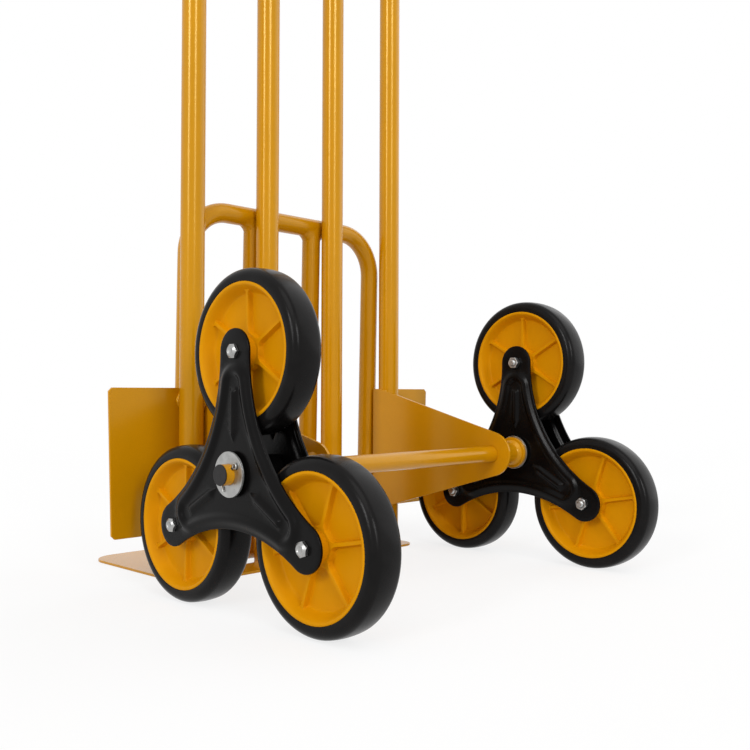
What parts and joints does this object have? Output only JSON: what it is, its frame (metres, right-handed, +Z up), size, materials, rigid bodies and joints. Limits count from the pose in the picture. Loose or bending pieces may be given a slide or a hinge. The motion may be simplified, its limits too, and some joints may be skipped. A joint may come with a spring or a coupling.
{
  "type": "stair climbing hand truck",
  "caption": "Stair climbing hand truck with tubular uprights, a flat toe plate, a folding tubular toe loop and a turning star of rubber tyred wheels at each end of its axle.",
  "frame": {"origin": "on the floor, under the middle of the truck's box", "axes": "+Z up, +Y forward over the toe plate, +X to the right of someone pushing it"},
  "size_m": [0.5312, 0.558, 1.163],
  "materials": {
    "frame_paint": "glossy yellow orange powder coat",
    "hub_plastic": "satin moulded yellow plastic",
    "tyre_rubber": "smooth moulded black rubber",
    "star_paint": "semi gloss black paint on pressed steel",
    "zinc": "bright zinc plate",
    "nylon": "natural nylon",
    "grip_rubber": "matt black rubber",
    "cap_plastic": "matt black plastic"
  },
  "bodies": {
    "frame": {"toe_plate": "frame_paint", "left_outer_upright": "frame_paint", "right_outer_upright": "frame_paint", "left_inner_upright": "frame_paint", "right_inner_upright": "frame_paint", "top_cross_tube": "frame_paint", "middle_cross_tubes": "frame_paint", "left_grip": "grip_rubber", "right_grip": "grip_rubber", "left_axle_bracket": "frame_paint", "right_axle_bracket": "frame_paint", "axle_tube": "frame_paint", "axle_sleeves": "frame_paint", "axle_collars": "frame_paint", "inner_hub_washers": "zinc", "outer_hub_washers": "zinc", "axle_caps": "cap_plastic", "split_pins": "zinc", "hinge_ears": "frame_paint", "hinge_rod": "zinc", "rod_caps": "cap_plastic"},
    "left_star": {"left_star_outer_plate": "star_paint", "left_star_inner_plate": "star_paint", "left_star_hub_tube": "star_paint", "left_star_bush": "nylon", "left_wheel_sleeves": "zinc", "left_wheel_bolts": "zinc", "left_wheel_nuts": "zinc"},
    "left_top_wheel": {"left_top_wheel_hub": "hub_plastic", "left_top_tyre": "tyre_rubber"},
    "left_front_wheel": {"left_front_wheel_hub": "hub_plastic", "left_front_tyre": "tyre_rubber"},
    "left_rear_wheel": {"left_rear_wheel_hub": "hub_plastic", "left_rear_tyre": "tyre_rubber"},
    "right_star": {"right_star_outer_plate": "star_paint", "right_star_inner_plate": "star_paint", "right_star_hub_tube": "star_paint", "right_star_bush": "nylon", "right_wheel_sleeves": "zinc", "right_wheel_bolts": "zinc", "right_wheel_nuts": "zinc"},
    "right_top_wheel": {"right_top_wheel_hub": "hub_plastic", "right_top_tyre": "tyre_rubber"},
    "right_front_wheel": {"right_front_wheel_hub": "hub_plastic", "right_front_tyre": "tyre_rubber"},
    "right_rear_wheel": {"right_rear_wheel_hub": "hub_plastic", "right_rear_tyre": "tyre_rubber"},
    "toe_loop": {"loop_tube": "frame_paint", "loop_bars": "frame_paint", "hinge_tube": "frame_paint", "hinge_bushes": "nylon"}
  },
  "joints": [
    {"name": "left_star_turn", "type": "hinge", "parent": "frame", "child": "left_star", "pos_m": [-0.2248, -0.09945, 0.1375], "axis": [1, 0, 0], "continuous": true},
    {"name": "left_top_wheel_spin", "type": "hinge", "parent": "left_star", "child": "left_top_wheel", "pos_m": [-0.2248, -0.09945, 0.2525], "axis": [1, 0, 0], "continuous": true},
    {"name": "left_front_wheel_spin", "type": "hinge", "parent": "left_star", "child": "left_front_wheel", "pos_m": [-0.2248, 0.00014, 0.08], "axis": [1, 0, 0], "continuous": true},
    {"name": "left_rear_wheel_spin", "type": "hinge", "parent": "left_star", "child": "left_rear_wheel", "pos_m": [-0.2248, -0.19905, 0.08], "axis": [1, 0, 0], "continuous": true},
    {"name": "right_star_turn", "type": "hinge", "parent": "frame", "child": "right_star", "pos_m": [0.2248, -0.09945, 0.1375], "axis": [1, 0, 0], "continuous": true},
    {"name": "right_top_wheel_spin", "type": "hinge", "parent": "right_star", "child": "right_top_wheel", "pos_m": [0.2248, -0.09945, 0.2525], "axis": [1, 0, 0], "continuous": true},
    {"name": "right_front_wheel_spin", "type": "hinge", "parent": "right_star", "child": "right_front_wheel", "pos_m": [0.2248, 0.00014, 0.08], "axis": [1, 0, 0], "continuous": true},
    {"name": "right_rear_wheel_spin", "type": "hinge", "parent": "right_star", "child": "right_rear_wheel", "pos_m": [0.2248, -0.19905, 0.08], "axis": [1, 0, 0], "continuous": true},
    {"name": "toe_loop_fold", "type": "hinge", "parent": "frame", "child": "toe_loop", "pos_m": [0, 0.12751, 0.016], "axis": [-1, 0, 0], "range_deg": [0, 91]}
  ]
}
